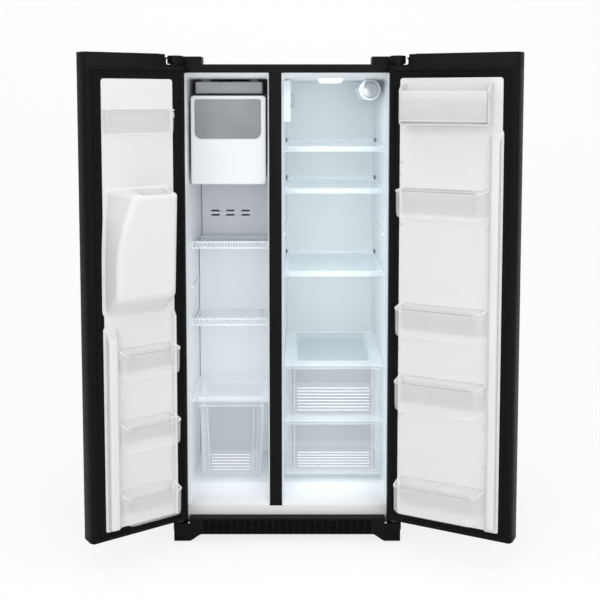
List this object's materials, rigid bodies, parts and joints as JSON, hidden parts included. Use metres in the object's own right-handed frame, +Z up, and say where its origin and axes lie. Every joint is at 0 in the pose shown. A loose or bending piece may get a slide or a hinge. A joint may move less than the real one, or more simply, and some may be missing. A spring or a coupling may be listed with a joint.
{
  "type": "side by side refrigerator",
  "caption": "Side by side refrigerator with black doors open, white lit compartments, glass and wire shelves, clear crispers and door bins, an ice bin and an in-door dispenser.",
  "frame": {"origin": "floor level, under the middle of the bounding box with both doors open", "axes": "+Z up, the doors face -Y, +X to the right as seen from the front"},
  "size_m": [1.4954, 1.0405, 1.77],
  "materials": {
    "black_enamel": "satin",
    "black_plastic": "satin",
    "black_rubber": "matte",
    "cool_white_liner": "satin",
    "warm_white_liner": "satin",
    "clear_plastic": "clear moulded plastic",
    "shelf_glass": "clear",
    "shelf_white": "satin",
    "smoky_plastic": "tinted",
    "grey_plastic": "satin",
    "white_wire": "satin",
    "galvanised_steel": "satin",
    "hinge_steel": "satin"
  },
  "bodies": {
    "case": {"cabinet_shell": "black_enamel", "cabinet_back": "galvanised_steel", "base_pan": "galvanised_steel", "freezer_liner": "cool_white_liner", "fridge_liner": "cool_white_liner", "mullion_cover": "black_plastic", "sill_trim": "grey_plastic", "toe_grille": "black_plastic", "left_top_hinge": "hinge_steel", "right_top_hinge": "hinge_steel", "left_hinge_cover": "black_plastic", "right_hinge_cover": "black_plastic", "left_bottom_hinge": "hinge_steel", "right_bottom_hinge": "hinge_steel", "evaporator_cover": "cool_white_liner", "ice_maker": "grey_plastic", "fridge_light_cover": "clear_plastic", "filter_housing": "shelf_white", "damper_housing": "shelf_white", "fridge_shelf_1_frame": "shelf_white", "fridge_shelf_1_glass": "shelf_glass", "fridge_shelf_2_frame": "shelf_white", "fridge_shelf_2_glass": "shelf_glass", "fridge_shelf_3_frame": "shelf_white", "fridge_shelf_3_glass": "shelf_glass", "crisper_cover_frame": "shelf_white", "crisper_cover_glass": "shelf_glass", "freezer_shelf_1": "white_wire", "freezer_shelf_2": "white_wire", "basket_cover": "clear_plastic"},
    "freezer_door": {"freezer_door_pan": "black_enamel", "freezer_door_liner": "warm_white_liner", "freezer_door_gasket": "black_rubber", "freezer_door_handle": "black_plastic", "freezer_bin_1": "clear_plastic", "freezer_bin_2": "clear_plastic", "freezer_bin_3": "clear_plastic", "freezer_bin_4": "clear_plastic", "dispenser_bezel": "black_plastic"},
    "dispenser_paddle": {"dispenser_paddle": "grey_plastic"},
    "fridge_door": {"fridge_door_pan": "black_enamel", "fridge_door_liner": "warm_white_liner", "fridge_door_gasket": "black_rubber", "fridge_door_handle": "black_plastic", "fridge_bin_a": "clear_plastic", "fridge_bin_b": "clear_plastic", "fridge_bin_c": "clear_plastic", "fridge_bin_d": "clear_plastic"},
    "dairy_cover": {"dairy_cover": "clear_plastic"},
    "upper_crisper": {"upper_crisper": "clear_plastic"},
    "lower_crisper": {"lower_crisper": "clear_plastic"},
    "freezer_basket": {"freezer_basket": "clear_plastic"},
    "ice_bin": {"ice_bin": "cool_white_liner", "ice_bin_window": "smoky_plastic"},
    "filter_cartridge": {"filter_cartridge": "grey_plastic"},
    "temperature_knob": {"temperature_knob": "grey_plastic"},
    "left_leveling_leg": {"left_leveling_leg": "black_plastic"},
    "right_leveling_leg": {"right_leveling_leg": "black_plastic"},
    "left_rear_roller": {"left_rear_roller": "black_plastic"},
    "right_rear_roller": {"right_rear_roller": "black_plastic"}
  },
  "joints": [
    {"name": "freezer_door_hinge", "type": "hinge", "parent": "case", "child": "freezer_door", "pos_m": [-0.43511, -0.24952, 0.9], "axis": [0, 0, -1], "range_deg": [-148.04, 0]},
    {"name": "fridge_door_hinge", "type": "hinge", "parent": "case", "child": "fridge_door", "pos_m": [0.34549, -0.24952, 0.9], "axis": [0, 0, 1], "range_deg": [-156.33, 0]},
    {"name": "dispenser_paddle_hinge", "type": "hinge", "parent": "freezer_door", "child": "dispenser_paddle", "pos_m": [-0.56558, -0.371, 1.17], "axis": [-0.8484, -0.5293, 0], "range_deg": [0, 10], "stiffness_Nm_per_rad": 0.4},
    {"name": "dairy_cover_hinge", "type": "hinge", "parent": "fridge_door", "child": "dairy_cover", "pos_m": [0.47781, -0.4309, 1.64], "axis": [-0.9159, 0.4015, 0], "range_deg": [0, 80]},
    {"name": "upper_crisper_slide", "type": "slide", "parent": "case", "child": "upper_crisper", "axis": [0, -1, 0], "range_m": [0, 0.3]},
    {"name": "lower_crisper_slide", "type": "slide", "parent": "case", "child": "lower_crisper", "axis": [0, -1, 0], "range_m": [0, 0.24]},
    {"name": "freezer_basket_slide", "type": "slide", "parent": "case", "child": "freezer_basket", "axis": [0, -1, 0], "range_m": [0, 0.2]},
    {"name": "ice_bin_slide", "type": "slide", "parent": "case", "child": "ice_bin", "axis": [0, -1, 0], "range_m": [0, 0.28]},
    {"name": "filter_turn", "type": "hinge", "parent": "case", "child": "filter_cartridge", "pos_m": [0.26319, -0.06413, 1.6485], "axis": [0, -1, 0], "range_deg": [0, 90]},
    {"name": "temperature_knob_turn", "type": "hinge", "parent": "case", "child": "temperature_knob", "pos_m": [-0.03381, 0.02088, 1.61], "axis": [1, 0, 0], "range_deg": [-135, 135]},
    {"name": "left_leg_screw", "type": "slide", "parent": "case", "child": "left_leveling_leg", "axis": [0, 0, -1], "range_m": [0, 0.012]},
    {"name": "right_leg_screw", "type": "slide", "parent": "case", "child": "right_leveling_leg", "axis": [0, 0, -1], "range_m": [0, 0.012]},
    {"name": "left_roller_spin", "type": "hinge", "parent": "case", "child": "left_rear_roller", "pos_m": [-0.40281, 0.47027, 0.022], "axis": [1, 0, 0], "continuous": true},
    {"name": "right_roller_spin", "type": "hinge", "parent": "case", "child": "right_rear_roller", "pos_m": [0.31319, 0.47027, 0.022], "axis": [1, 0, 0], "continuous": true}
  ]
}
